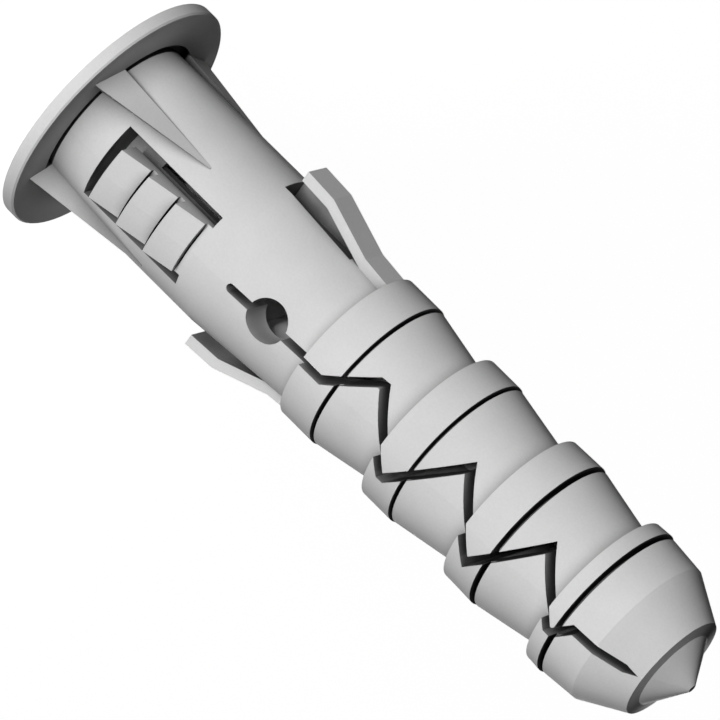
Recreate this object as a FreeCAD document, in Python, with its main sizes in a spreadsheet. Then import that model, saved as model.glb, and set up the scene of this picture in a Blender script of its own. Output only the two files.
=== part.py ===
"""Collared wall plug for a 10 mm hole, one nylon moulding, in millimetres.

The plug stands on its collar: the outer face of the collar is at Z = 0, centred on the origin,
and the nose points up +Z. The barbed tongues and the zigzag slot face +X and -X, and the two
wings that stop the plug from turning face +Y and -Y.
"""
import FreeCAD, Part
import Sketcher
import os

doc = FreeCAD.newDocument("wall_plug")

# Driving dimensions
SIZES = [
    ("flange_radius", 7.79),
    ("flange_thickness", 0.8),
    ("flange_edge_bevel", 0.1),
    ("relief_width", 0.52),
    ("relief_depth", 0.45),
    ("shank_radius", 4.93),
    ("shank_taper_start", 12.0),
    ("shank_end_radius", 4.36),
    ("ring_radius", 5.0),
    ("ring_foot_radius", 4.18),
    ("ring_first", 19.45),
    ("ring_pitch", 6.49),
    ("first_collar_height", 2.35),
    ("collar_height", 2.1),
    ("last_collar_height", 0.92),
    ("collar_flare", 0.06),
    ("taper_setback", 0.09),
    ("ring_slit_width", 0.23),
    ("ring_slit_depth", 0.7),
    ("late_slit_width", 0.32),
    ("late_slit_depth", 0.98),
    ("nose_shoulder_height", 2.46),
    ("nose_shoulder_radius", 4.79),
    ("nose_cone_height", 2.67),
    ("nose_rim_radius", 3.33),
    ("nose_rim_rise", 0.13),
    ("tip_radius", 2.52),
    ("tip_height", 1.46),
    ("tip_flat_radius", 0.25),
    ("rib_crest_x", 5.84),
    ("rib_crest_y", 3.45),
    ("rib_inner_x", 4.0),
    ("rib_inner_y", 2.5),
    ("rib_outer_y", 4.27),
    ("rib_side_x", 3.4),
    ("rib_foot_y", 3.3),
    ("rib_tip_x", 3.3),
    ("rib_tip_y", 3.62),
    ("rib_length", 7.4),
    ("rib_point", 0.06),
    ("bore_radius", 2.45),
    ("bore_mouth_radius", 3.1),
    ("bore_length", 14.8),
    ("wedge_half_depth", 2.5),
    ("wedge_start_width", 2.3),
    ("wedge_end_width", 0.5),
    ("wedge_end", 41.5),
    ("sleeve_radius", 2.9),
    ("window_start", 3.3),
    ("window_length", 7.46),
    ("window_half_width", 2.45),
    ("tongue_half_width", 1.74),
    ("tongue_underside", 4.19),
    ("tongue_gap", 0.93),
    ("barb_radius", 5.9),
    ("barb_end_radius", 5.22),
    ("barb_valley_radius", 4.95),
    ("barb_pitch", 2.17),
    ("barb_length", 1.8),
    ("barb_slit_floor", 4.62),
    ("root_slit_width", 0.1),
    ("flap_slot_near", 1.16),
    ("flap_slot_width", 0.34),
    ("flap_slot_start", 5.57),
    ("side_hole_radius", 1.29),
    ("side_hole_height", 16.38),
    ("slot_width", 0.54),
    ("slot_start", 13.68),
    ("slot_bend", 20.97),
    ("slot_peak_1_start", 23.52),
    ("slot_peak_1_end", 23.88),
    ("slot_peak_1_offset", 2.01),
    ("slot_valley_1_start", 26.77),
    ("slot_valley_1_end", 27.0),
    ("slot_valley_1_offset", 1.75),
    ("slot_peak_2_height", 30.46),
    ("slot_peak_2_offset", 2.12),
    ("slot_valley_2_height", 33.55),
    ("slot_valley_2_offset", 1.82),
    ("slot_peak_3_height", 36.75),
    ("slot_peak_3_offset", 2.15),
    ("slot_valley_3_start", 39.5),
    ("slot_valley_3_end", 39.85),
    ("slot_valley_3_offset", 1.05),
    ("slot_last_bend", 40.73),
    ("slot_end", 43.95),
    ("slot_point", 0.8),
    ("wing_tip_height", 12.0),
    ("wing_tip_reach", 6.42),
    ("wing_shoulder_height", 14.1),
    ("wing_shoulder_reach", 6.3),
    ("wing_knee_height", 17.6),
    ("wing_knee_reach", 5.06),
    ("wing_thickness", 0.66),
    ("wing_half_width", 0.95),
    ("wing_root_reach", 4.86),
    ("wing_root_depth", 0.3),
    ("wing_pocket_start", 11.45),
    ("wing_pocket_floor", 3.7),
    ("wing_pocket_clearance", 0.12),
]
RING_COUNT = 4
BARB_COUNT = 3

sheet = doc.addObject("Spreadsheet::Sheet", "sizes")
for row, (alias, number) in enumerate(SIZES, start=1):
    sheet.set("A%d" % row, alias)
    sheet.set("B%d" % row, str(number))
    sheet.setAlias("B%d" % row, alias)
doc.recompute()


class Size:
    """A length with its number and the sheet expression that gives it."""

    def __init__(self, number, text):
        self.number = number
        self.text = text

    def joined(self, other, sign, number):
        text = other.text if isinstance(other, Size) else repr(other)
        return Size(number, "(%s %s %s)" % (self.text, sign, text))

    def __add__(self, other):
        return self.joined(other, "+", self.number + value_of(other))

    def __sub__(self, other):
        return self.joined(other, "-", self.number - value_of(other))

    def __mul__(self, other):
        return self.joined(other, "*", self.number * value_of(other))

    def __truediv__(self, other):
        return self.joined(other, "/", self.number / value_of(other))

    def __neg__(self):
        return Size(-self.number, "(0 - %s)" % self.text)


def value_of(length):
    return length.number if isinstance(length, Size) else length


S = {alias: Size(number, "sizes." + alias) for alias, number in SIZES}
ZERO = Size(0.0, "0")


def origin_plane(body, role):
    return [item for item in body.Origin.OriginFeatures if item.Role == role][0]


def new_sketch(body, name, role, height=None):
    """A sketch on one of the body's origin planes, raised along the plane's normal."""
    sketch = body.newObject("Sketcher::SketchObject", name)
    sketch.AttachmentSupport = [(origin_plane(body, role), "")]
    sketch.MapMode = "FlatFace"
    if height is not None:
        sketch.setExpression("AttachmentOffset.Base.z", height.text)
    return sketch


def bind(sketch, kind, geometry, point, length):
    """Place one point of the geometry at a signed distance from the sketch's origin."""
    index = sketch.addConstraint(Sketcher.Constraint(kind, -1, 1, geometry, point, length.number))
    sketch.setExpression("Constraints[%d]" % index, length.text)


def polygon(sketch, corners, closed=True):
    """Straight edges through the corners, each corner bound to its two sizes."""
    points = [FreeCAD.Vector(across.number, along.number, 0) for across, along in corners]
    count = len(points) if closed else len(points) - 1
    first = len(sketch.Geometry)
    for i in range(count):
        sketch.addGeometry(Part.LineSegment(points[i], points[(i + 1) % len(points)]), False)
    for i in range(count if closed else count - 1):
        following = first + (i + 1) % count
        sketch.addConstraint(Sketcher.Constraint("Coincident", first + i, 2, following, 1))
    for i, (across, along) in enumerate(corners):
        geometry, point = (first + i, 1) if i < count else (first + count - 1, 2)
        for kind, length in (("DistanceX", across), ("DistanceY", along)):
            if length is ZERO:
                axis = -2 if kind == "DistanceX" else -1
                sketch.addConstraint(Sketcher.Constraint("PointOnObject", geometry, point, axis))
            else:
                bind(sketch, kind, geometry, point, length)


def circle(sketch, height, radius):
    """A circle centred on the sketch's vertical axis."""
    centre = FreeCAD.Vector(0, height.number, 0)
    index = sketch.addGeometry(Part.Circle(centre, FreeCAD.Vector(0, 0, 1), radius.number), False)
    sketch.addConstraint(Sketcher.Constraint("PointOnObject", index, 3, -2))
    bind(sketch, "DistanceY", index, 3, height)
    turn = sketch.addConstraint(Sketcher.Constraint("Radius", index, radius.number))
    sketch.setExpression("Constraints[%d]" % turn, radius.text)


def turned(body, kind, name, sketch):
    """A revolution or groove about the sketch's vertical axis."""
    feature = body.newObject(kind, name)
    feature.Profile = sketch
    feature.ReferenceAxis = (sketch, ["V_Axis"])
    feature.Angle = 360.0
    doc.recompute()
    return feature


def symmetric(body, kind, name, sketch, length):
    """A pad or pocket of the given total length, half to each side of its sketch."""
    feature = body.newObject(kind, name)
    feature.Profile = sketch
    feature.Type = "Length"
    feature.SideType = "Symmetric"
    feature.setExpression("Length", length.text)
    doc.recompute()
    return feature


body = doc.addObject("PartDesign::Body", "moulding")

# Outline of the turned shape, from the collar face up to the tip of the nose
flange_radius = S["flange_radius"]
flange_top = S["flange_thickness"]
relief_radius = S["shank_radius"] + S["relief_width"]
relief_floor = flange_top - S["relief_depth"]
outline = [
    (ZERO, ZERO),
    (flange_radius, ZERO),
    (flange_radius, flange_top - S["flange_edge_bevel"]),
    (flange_radius - S["flange_edge_bevel"], flange_top),
    (relief_radius, flange_top),
    (relief_radius, relief_floor),
    (S["shank_radius"], relief_floor),
    (S["shank_radius"], S["shank_taper_start"]),
    (S["shank_end_radius"], S["ring_first"]),
]
for ring in range(RING_COUNT):
    start = S["ring_first"] + S["ring_pitch"] * ring
    last = ring == RING_COUNT - 1
    if ring == 0:
        height = S["first_collar_height"]
    elif last:
        height = S["last_collar_height"]
    else:
        height = S["collar_height"]
    late = ring >= RING_COUNT // 2
    edge_radius = S["ring_radius"] + S["collar_flare"] if late else S["ring_radius"]
    slit_width = S["late_slit_width"] if late else S["ring_slit_width"]
    slit_floor = edge_radius - (S["late_slit_depth"] if late else S["ring_slit_depth"])
    if ring > 0:
        outline.append((S["ring_foot_radius"], start))
    slit_start = start + height
    outline += [
        (S["ring_radius"], start),
        (edge_radius, slit_start),
        (slit_floor, slit_start),
        (slit_floor, slit_start + slit_width),
        (edge_radius - S["taper_setback"], slit_start + slit_width),
    ]

shoulder_height = slit_start + S["nose_shoulder_height"]
rim_height = shoulder_height + S["nose_cone_height"]
tip_foot = rim_height + S["nose_rim_rise"]
tip_top = tip_foot + S["tip_height"]
outline += [
    (S["nose_shoulder_radius"], shoulder_height),
    (S["nose_rim_radius"], rim_height),
    (S["tip_radius"], tip_foot),
    (S["tip_flat_radius"], tip_top),
    (ZERO, tip_top),
]
outline_sketch = new_sketch(body, "outline", "XZ_Plane")
polygon(outline_sketch, outline)
turned(body, "PartDesign::Revolution", "turned_shape", outline_sketch)

# Windows for the two barbed tongues, cut through both sides of the shank
through = S["flange_radius"] * 2
window_end = S["window_start"] + S["window_length"]
window_sketch = new_sketch(body, "window_outline", "YZ_Plane")
polygon(window_sketch, [
    (-S["window_half_width"], S["window_start"]),
    (S["window_half_width"], S["window_start"]),
    (S["window_half_width"], window_end),
    (-S["window_half_width"], window_end),
])
symmetric(body, "PartDesign::Pocket", "windows", window_sketch, through)

# Inner sleeve that closes the windows towards the screw
sleeve_sketch = new_sketch(body, "sleeve_outline", "XZ_Plane")
polygon(sleeve_sketch, [
    (ZERO, S["window_start"]),
    (S["sleeve_radius"], S["window_start"]),
    (S["sleeve_radius"], window_end),
    (ZERO, window_end),
])
turned(body, "PartDesign::Revolution", "sleeve", sleeve_sketch)

# Tongues, rooted at the nose end of each window
barb_start = S["window_start"] + S["tongue_gap"]
tongue_sketch = new_sketch(body, "tongue_outline", "XZ_Plane")
for side in (1, -1):
    polygon(tongue_sketch, [
        (S["tongue_underside"] * side, barb_start),
        (S["barb_radius"] * side, barb_start),
        (S["barb_radius"] * side, window_end),
        (S["tongue_underside"] * side, window_end),
    ])
symmetric(body, "PartDesign::Pad", "tongues", tongue_sketch, S["tongue_half_width"] * 2)

# Barbs, turned so that each is a short cone whose step faces the collar
outside = S["barb_radius"] + S["tongue_gap"]
teeth = [(outside, barb_start), (S["barb_radius"], barb_start)]
for barb in range(BARB_COUNT):
    tooth_start = barb_start + S["barb_pitch"] * barb
    if barb > 0:
        teeth.append((S["barb_valley_radius"], tooth_start))
        teeth.append((S["barb_radius"], tooth_start))
    teeth.append((S["barb_end_radius"], tooth_start + S["barb_length"]))
    teeth.append((S["barb_valley_radius"], tooth_start + S["barb_length"]))
teeth += [(S["shank_radius"], window_end), (outside, window_end)]
teeth_sketch = new_sketch(body, "teeth_outline", "XZ_Plane")
polygon(teeth_sketch, teeth)
turned(body, "PartDesign::Groove", "barbs", teeth_sketch)

# Slit behind each barb, across the tongue only
slits_sketch = new_sketch(body, "barb_slits_outline", "XZ_Plane")
for barb in range(BARB_COUNT):
    slit_start = barb_start + S["barb_pitch"] * barb + S["barb_length"]
    if barb < BARB_COUNT - 1:
        slit_end = barb_start + S["barb_pitch"] * (barb + 1)
    else:
        slit_end = slit_start + S["root_slit_width"]
    for side in (1, -1):
        polygon(slits_sketch, [
            (S["barb_slit_floor"] * side, slit_start),
            (outside * side, slit_start),
            (outside * side, slit_end),
            (S["barb_slit_floor"] * side, slit_end),
        ])
symmetric(body, "PartDesign::Pocket", "barb_slits", slits_sketch, S["tongue_half_width"] * 2)

# Slots that free a flap of the sleeve under each tongue
flap_sketch = new_sketch(body, "flap_slots_outline", "YZ_Plane")
flap_slot_far = S["flap_slot_near"] + S["flap_slot_width"]
for side in (1, -1):
    polygon(flap_sketch, [
        (S["flap_slot_near"] * side, S["flap_slot_start"]),
        (flap_slot_far * side, S["flap_slot_start"]),
        (flap_slot_far * side, window_end),
        (S["flap_slot_near"] * side, window_end),
    ])
symmetric(body, "PartDesign::Pocket", "flap_slots", flap_sketch, S["sleeve_radius"] * 2)

# Round hole at the root of the long slot
hole_sketch = new_sketch(body, "side_hole_outline", "YZ_Plane")
circle(hole_sketch, S["side_hole_height"], S["side_hole_radius"])
symmetric(body, "PartDesign::Pocket", "side_hole", hole_sketch, through)

# Pockets under the two wings, then the wings themselves
pocket_end = S["wing_knee_height"] - S["wing_thickness"]
pocket_sketch = new_sketch(body, "wing_pocket_outline", "YZ_Plane")
for side in (1, -1):
    polygon(pocket_sketch, [
        (S["wing_pocket_floor"] * side, S["wing_pocket_start"]),
        (S["ring_radius"] * side, S["wing_pocket_start"]),
        (S["ring_radius"] * side, pocket_end),
        (S["wing_pocket_floor"] * side, pocket_end),
    ])
pocket_width = (S["wing_half_width"] + S["wing_pocket_clearance"]) * 2
symmetric(body, "PartDesign::Pocket", "wing_pockets", pocket_sketch, pocket_width)

wing_root = S["ring_first"] + S["wing_root_depth"]
wing_sketch = new_sketch(body, "wing_outline", "YZ_Plane")
for side in (1, -1):
    wing = [
        (S["wing_tip_reach"] * side, S["wing_tip_height"]),
        (S["wing_shoulder_reach"] * side, S["wing_shoulder_height"]),
        (S["wing_knee_reach"] * side, S["wing_knee_height"]),
        (S["wing_root_reach"] * side, S["ring_first"]),
        (S["wing_root_reach"] * side, wing_root),
        ((S["wing_root_reach"] - S["wing_thickness"]) * side, wing_root),
        ((S["wing_knee_reach"] - S["wing_thickness"]) * side, S["wing_knee_height"]),
        ((S["wing_shoulder_reach"] - S["wing_thickness"]) * side, S["wing_shoulder_height"]),
        ((S["wing_tip_reach"] - S["wing_thickness"]) * side, S["wing_tip_height"]),
    ]
    polygon(wing_sketch, wing)
symmetric(body, "PartDesign::Pad", "wings", wing_sketch, S["wing_half_width"] * 2)

# Four ribs under the collar, each a slim pyramid that runs out on the shank
rib_base = [
    (S["rib_crest_x"], S["rib_crest_y"]),
    (S["rib_side_x"], S["rib_outer_y"]),
    (S["rib_side_x"], S["rib_foot_y"]),
    (S["rib_inner_x"], S["rib_inner_y"]),
]
rib_start = relief_floor
rib_end = flange_top + S["rib_length"]
for side_x in (1, -1):
    for side_y in (1, -1):
        number = 1 + (side_x < 0) * 2 + (side_y < 0)
        base_sketch = new_sketch(body, "rib_%d_base" % number, "XY_Plane", rib_start)
        polygon(base_sketch, [(across * side_x, along * side_y) for across, along in rib_base])
        end_sketch = new_sketch(body, "rib_%d_end" % number, "XY_Plane", rib_end)
        tip = []
        for across, along in rib_base:
            tip_x = S["rib_tip_x"] + (across - S["rib_tip_x"]) * S["rib_point"]
            tip_y = S["rib_tip_y"] + (along - S["rib_tip_y"]) * S["rib_point"]
            tip.append((tip_x * side_x, tip_y * side_y))
        polygon(end_sketch, tip)
        rib = body.newObject("PartDesign::AdditiveLoft", "rib_%d" % number)
        rib.Profile = base_sketch
        rib.Sections = [end_sketch]
        rib.Ruled = True
        doc.recompute()

# Round screw bore through the shank
bore_sketch = new_sketch(body, "bore_outline", "XZ_Plane")
mouth_depth = S["bore_mouth_radius"] - S["bore_radius"]
polygon(bore_sketch, [
    (ZERO, ZERO),
    (S["bore_mouth_radius"], ZERO),
    (S["bore_radius"], mouth_depth),
    (S["bore_radius"], S["bore_length"]),
    (ZERO, S["bore_length"]),
])
turned(body, "PartDesign::Groove", "bore", bore_sketch)

# Flat-walled wedge beyond the bore, where the screw drives the two halves of the ringed part outwards
wedge_sketch = new_sketch(body, "wedge_outline", "YZ_Plane")
polygon(wedge_sketch, [
    (-S["wedge_start_width"], S["bore_length"]),
    (S["wedge_start_width"], S["bore_length"]),
    (S["wedge_end_width"], S["wedge_end"]),
    (-S["wedge_end_width"], S["wedge_end"]),
])
symmetric(body, "PartDesign::Pocket", "wedge", wedge_sketch, S["wedge_half_depth"] * 2)

# Pointed end of the long slot
half_slot = S["slot_width"] / 2
point_sketch = new_sketch(body, "slot_point_outline", "YZ_Plane")
polygon(point_sketch, [
    (-half_slot, S["slot_end"]),
    (half_slot, S["slot_end"]),
    (ZERO, S["slot_end"] + S["slot_point"]),
])
symmetric(body, "PartDesign::Pocket", "slot_point_cut", point_sketch, through)

# Zigzag slot that splits the spreading part into two halves, drawn along its centre line
centre_line = [
    (ZERO, S["slot_start"]),
    (ZERO, S["slot_bend"]),
    (-S["slot_peak_1_offset"], S["slot_peak_1_start"]),
    (-S["slot_peak_1_offset"], S["slot_peak_1_end"]),
    (S["slot_valley_1_offset"], S["slot_valley_1_start"]),
    (S["slot_valley_1_offset"], S["slot_valley_1_end"]),
    (-S["slot_peak_2_offset"], S["slot_peak_2_height"]),
    (S["slot_valley_2_offset"], S["slot_valley_2_height"]),
    (-S["slot_peak_3_offset"], S["slot_peak_3_height"]),
    (S["slot_valley_3_offset"], S["slot_valley_3_start"]),
    (S["slot_valley_3_offset"], S["slot_valley_3_end"]),
    (ZERO, S["slot_last_bend"]),
    (ZERO, S["slot_end"]),
]

SIDEWAYS = FreeCAD.Rotation(FreeCAD.Vector(1, 1, 1), 120)
slot_line = doc.addObject("Sketcher::SketchObject", "slot_line")
slot_line.Placement = FreeCAD.Placement(FreeCAD.Vector(0, 0, 0), SIDEWAYS)
polygon(slot_line, centre_line, closed=False)
doc.recompute()
slot_face = doc.addObject("Part::Offset2D", "slot_face")
slot_face.Source = slot_line
slot_face.setExpression("Value", half_slot.text)
slot_face.Join = "Intersection"
slot_face.Fill = True
slot_tool = doc.addObject("Part::Extrusion", "slot_tool")
slot_tool.Base = slot_face
slot_tool.DirMode = "Custom"
slot_tool.Dir = FreeCAD.Vector(1, 0, 0)
slot_tool.setExpression("LengthFwd", through.text)
slot_tool.Symmetric = True
slot_tool.Solid = True

plug = doc.addObject("Part::Cut", "plug")
plug.Base = body
plug.Tool = slot_tool
plug.Label = "plug_body"
plug.Placement = FreeCAD.Placement()
doc.recompute()

# Every object has to be sound before anything is written
for item in doc.Objects:
    if "Invalid" in item.State or "Error" in item.State:
        raise RuntimeError("%s failed: %s" % (item.Label, item.State))
if plug.Shape.isNull() or not plug.Shape.isValid() or len(plug.Shape.Solids) != 1:
    raise RuntimeError("plug_body is not one valid solid")

os.makedirs("parts", exist_ok=True)
plug.Shape.exportStep("parts/%s.step" % plug.Label)
print("plug_body", round(plug.Shape.Volume, 2), "cubic mm,", plug.Shape.BoundBox)
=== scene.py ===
import math

import bpy
from mathutils import Matrix, Vector

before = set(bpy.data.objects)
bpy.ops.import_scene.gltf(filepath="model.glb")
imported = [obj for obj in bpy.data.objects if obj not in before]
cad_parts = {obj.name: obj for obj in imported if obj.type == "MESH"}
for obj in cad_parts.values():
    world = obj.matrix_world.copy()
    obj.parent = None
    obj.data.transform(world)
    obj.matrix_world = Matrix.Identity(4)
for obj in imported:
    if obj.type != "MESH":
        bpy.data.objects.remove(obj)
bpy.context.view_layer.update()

MM = 0.001
UP = Vector((0, 0, 1))
WHITE = (1, 1, 1, 1)
scene = bpy.context.scene
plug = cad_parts["plug_body"]

# Camera: the photograph's view, worked out from the ellipses of the collar and rings
PHOTO_WIDTH = 720
SENSOR_WIDTH = 36.0
FOCAL_PIXELS = 8500.0
PIXEL = 0.05438 * MM
VIEW_TILT = math.asin(0.290)
VIEW_TURN = math.radians(27.2)
AXIS_ANGLE = math.radians(44.75)
AIM_HEIGHT = 20.436 * MM
AXIS_OFFSET = 0.25 * PIXEL
CLIP_NEAR, CLIP_FAR = 0.1, 20.0  # in camera distances

# The viewer's side of the plug, and the direction across it towards the photograph's lower left
SIDE = Vector((math.cos(VIEW_TURN), -math.sin(VIEW_TURN), 0))
ACROSS = Vector((math.sin(VIEW_TURN), math.cos(VIEW_TURN), 0))


def make_camera():
    """The plug's axis lies AXIS_ANGLE below the image's right, with the nose towards the viewer."""
    along = UP * math.cos(VIEW_TILT) - SIDE * math.sin(VIEW_TILT)
    back = UP * math.sin(VIEW_TILT) + SIDE * math.cos(VIEW_TILT)
    right = along * math.cos(AXIS_ANGLE) - ACROSS * math.sin(AXIS_ANGLE)
    down = along * math.sin(AXIS_ANGLE) + ACROSS * math.cos(AXIS_ANGLE)
    distance = FOCAL_PIXELS * PIXEL
    data = bpy.data.cameras.new("camera")
    data.sensor_width = SENSOR_WIDTH
    data.lens = SENSOR_WIDTH * FOCAL_PIXELS / PHOTO_WIDTH
    data.clip_start = distance * CLIP_NEAR
    data.clip_end = distance * CLIP_FAR
    camera = bpy.data.objects.new("camera", data)
    place = UP * AIM_HEIGHT + ACROSS * AXIS_OFFSET + back * distance
    turn = Matrix((right, -down, back)).transposed().to_4x4()
    camera.matrix_world = Matrix.Translation(place) @ turn
    scene.collection.objects.link(camera)
    scene.camera = camera


class Shader:
    """A material's node tree, with short calls for adding and joining nodes."""

    def __init__(self, name):
        self.material = bpy.data.materials.new(name)
        self.material.use_nodes = True
        self.tree = self.material.node_tree
        self.bsdf = self.tree.nodes["Principled BSDF"]
        self.output = self.tree.nodes["Material Output"]

    def node(self, kind, **settings):
        made = self.tree.nodes.new(kind)
        for key, value in settings.items():
            setattr(made, key, value)
        return made

    def join(self, source, target):
        self.tree.links.new(source, target)

    def math(self, operation, first, second):
        made = self.node("ShaderNodeMath", operation=operation)
        for socket, value in zip(made.inputs, (first, second)):
            if isinstance(value, bpy.types.NodeSocket):
                self.join(value, socket)
            else:
                socket.default_value = value
        return made.outputs[0]

    def noise(self, place, scale, detail):
        made = self.node("ShaderNodeTexNoise")
        self.join(place, made.inputs["Vector"])
        made.inputs["Scale"].default_value = scale
        made.inputs["Detail"].default_value = detail
        return made.outputs["Fac"]

    def remap(self, value, low, high, new_low, new_high):
        made = self.node("ShaderNodeMapRange")
        self.join(value, made.inputs["Value"])
        made.inputs["From Min"].default_value = low
        made.inputs["From Max"].default_value = high
        made.inputs["To Min"].default_value = new_low
        made.inputs["To Max"].default_value = new_high
        return made.outputs["Result"]


# Nylon: the colour and finish of the moulding, with painted shade in its recesses, and noise scales
# in cycles a metre
NYLON_GREY = 0.66
NYLON_ROUGHNESS = (0.74, 0.84)
NYLON_SPECULAR = 0.07
NOISE_LOW, NOISE_HIGH = 0.3, 0.7
CLOUD_SCALE, CLOUD_DETAIL, CLOUD_DEPTH = 260.0, 3.0, 0.025
SPECK_SCALE, SPECK_DETAIL, SPECK_DEPTH = 7000.0, 2.0, 0.02
GRAIN_SCALE, GRAIN_DETAIL = 5200.0, 3.0
GRAIN_HEIGHT, GRAIN_STRENGTH = 0.006 * MM, 0.12
# Painted shade: ambient occlusion within RECESS_REACH darkens the base colour in slots, grooves and
# corners
RECESS_SAMPLES, RECESS_REACH = 16, 2.6 * MM
RECESS_CLOSED, RECESS_OPEN, PAINTED_SHADE_DARKEST = 0.12, 0.88, 0.05
EDGE_SAMPLES, EDGE_REACH = 8, 0.12 * MM
EDGE_START, EDGE_LIFT = 0.6, 0.05


def nylon():
    """Matte light grey nylon: faint clouding, specks, fine grain, painted shade in recesses and
    rubbed edges.
    """
    shader = Shader("nylon")
    shader.bsdf.inputs["Specular IOR Level"].default_value = NYLON_SPECULAR
    place = shader.node("ShaderNodeTexCoord").outputs["Object"]

    cloud = shader.noise(place, CLOUD_SCALE, CLOUD_DETAIL)
    cloud_tone = shader.remap(cloud, NOISE_LOW, NOISE_HIGH, 1.0 - CLOUD_DEPTH, 1.0 + CLOUD_DEPTH)
    speck = shader.noise(place, SPECK_SCALE, SPECK_DETAIL)
    speck_tone = shader.remap(speck, NOISE_LOW, NOISE_HIGH, 1.0 - SPECK_DEPTH, 1.0 + SPECK_DEPTH)

    # Painted shade: the base colour is darkened where the plug's own surfaces close in, such as
    # slots, grooves, the hole, and beside the flange and ring steps
    recess = shader.node("ShaderNodeAmbientOcclusion", samples=RECESS_SAMPLES, only_local=True)
    recess.inputs["Distance"].default_value = RECESS_REACH
    openness = recess.outputs["AO"]
    painted_recess_shade = shader.remap(openness, RECESS_CLOSED, RECESS_OPEN, PAINTED_SHADE_DARKEST, 1.0)

    edge = shader.node("ShaderNodeAmbientOcclusion", samples=EDGE_SAMPLES, inside=True)
    edge.only_local = True
    edge.inputs["Distance"].default_value = EDGE_REACH
    rubbed = shader.remap(edge.outputs["AO"], EDGE_START, 1.0, 0.0, 1.0)
    patchy = shader.math("MULTIPLY", rubbed, cloud)
    edge_tone = shader.math("ADD", shader.math("MULTIPLY", patchy, EDGE_LIFT), 1.0)

    tone = shader.math("MULTIPLY", cloud_tone, speck_tone)
    tone = shader.math("MULTIPLY", tone, edge_tone)
    # The painted recess shade is multiplied into the base colour here
    tone = shader.math("MULTIPLY", tone, painted_recess_shade)
    grey = shader.math("MULTIPLY", tone, NYLON_GREY)
    colour = shader.node("ShaderNodeCombineColor")
    for channel in ("Red", "Green", "Blue"):
        shader.join(grey, colour.inputs[channel])
    shader.join(colour.outputs["Color"], shader.bsdf.inputs["Base Color"])

    roughness = shader.remap(cloud, NOISE_LOW, NOISE_HIGH, *NYLON_ROUGHNESS)
    shader.join(roughness, shader.bsdf.inputs["Roughness"])

    bump = shader.node("ShaderNodeBump")
    bump.inputs["Strength"].default_value = GRAIN_STRENGTH
    bump.inputs["Distance"].default_value = GRAIN_HEIGHT
    shader.join(shader.noise(place, GRAIN_SCALE, GRAIN_DETAIL), bump.inputs["Height"])
    shader.join(bump.outputs["Normal"], shader.bsdf.inputs["Normal"])
    return shader.material


# Floor: pale, and shown to the camera as the photograph's white, with its half width in metres
FLOOR_HALF = 3.0
FLOOR_GREY = 0.9
FLOOR_SHOWN = 0.95


def floor_material():
    """A pale matte floor that keeps shadows, lifted to white only for camera and mirror rays."""
    shader = Shader("floor")
    shader.bsdf.inputs["Base Color"].default_value = (FLOOR_GREY, FLOOR_GREY, FLOOR_GREY, 1)
    shader.bsdf.inputs["Roughness"].default_value = 1.0
    shader.bsdf.inputs["Specular IOR Level"].default_value = 0.0
    path = shader.node("ShaderNodeLightPath")
    seen = shader.math("MAXIMUM", path.outputs["Is Camera Ray"], path.outputs["Is Glossy Ray"])
    seen = shader.math("MAXIMUM", seen, path.outputs["Is Transmission Ray"])
    glow = shader.node("ShaderNodeEmission")
    shader.join(shader.math("MULTIPLY", seen, FLOOR_SHOWN), glow.inputs["Strength"])
    total = shader.node("ShaderNodeAddShader")
    shader.join(glow.outputs["Emission"], total.inputs[0])
    shader.join(shader.bsdf.outputs["BSDF"], total.inputs[1])
    shader.join(total.outputs["Shader"], shader.output.inputs["Surface"])
    return shader.material


def make_floor():
    half = FLOOR_HALF
    corners = [(-half, -half, 0), (half, -half, 0), (half, half, 0), (-half, half, 0)]
    mesh = bpy.data.meshes.new("floor")
    mesh.from_pydata(corners, [], [(0, 1, 2, 3)])
    mesh.materials.append(floor_material())
    floor = bpy.data.objects.new("floor", mesh)
    scene.collection.objects.link(floor)


# Light: a wide low key by the viewer, a weaker one behind and a faint even fill, in metres and watts
FILL_STRENGTH = 0.02
KEY = dict(turn=6.5, height=0.045, distance=1.5, width=0.6, tall=0.05, power=21.9)
BACK = dict(turn=172, height=0.014, distance=1.5, width=0.9, tall=0.024, power=17.0)


def make_world():
    world = bpy.data.worlds.new("world")
    world.use_nodes = True
    background = world.node_tree.nodes["Background"]
    background.inputs["Color"].default_value = WHITE
    background.inputs["Strength"].default_value = FILL_STRENGTH
    scene.world = world


def softbox(name, turn, height, distance, width, tall, power):
    """A box light turned by so many degrees from the viewer towards the photograph's lower left."""
    direction = SIDE * math.cos(math.radians(turn)) + ACROSS * math.sin(math.radians(turn))
    data = bpy.data.lights.new(name, "AREA")
    data.shape = "RECTANGLE"
    data.size = width
    data.size_y = tall
    data.energy = power
    light = bpy.data.objects.new(name, data)
    light.location = UP * height + direction * distance
    light.rotation_mode = "QUATERNION"
    light.rotation_quaternion = direction.to_track_quat("Z", "Y")
    scene.collection.objects.link(light)


make_camera()
plug.data.materials.clear()
plug.data.materials.append(nylon())
make_floor()
make_world()
softbox("key", **KEY)
softbox("back", **BACK)
scene.view_settings.view_transform = "Standard"
